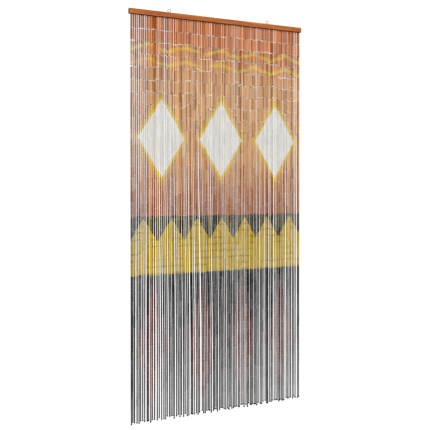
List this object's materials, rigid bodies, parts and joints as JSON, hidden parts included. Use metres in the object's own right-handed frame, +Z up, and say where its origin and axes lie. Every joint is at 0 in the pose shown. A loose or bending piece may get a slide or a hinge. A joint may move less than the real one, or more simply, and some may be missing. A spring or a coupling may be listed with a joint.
{
  "type": "bamboo door curtain with wooden hanging bar",
  "caption": "Door curtain of painted bamboo tubes strung on wire links, hanging from a stained wooden bar with wire screw eyes on top.",
  "frame": {"origin": "centre of the bar's flat back face", "axes": "+Y out of the bar's back into the wall, so the curtain's front faces -Y; +X along the bar to the viewer's right; +Z up"},
  "size_m": [1, 0.018, 2.0272],
  "materials": {
    "stained_wood": "orange-brown stain, satin",
    "wire": "pale brass-plated wire",
    "bamboo": "painted bamboo, matt, in bands from terracotta to charcoal"
  },
  "bodies": {
    "root": {"bar": "stained_wood", "eye_left": "wire", "eye_right": "wire", "strands": "bamboo"}
  },
  "joints": []
}
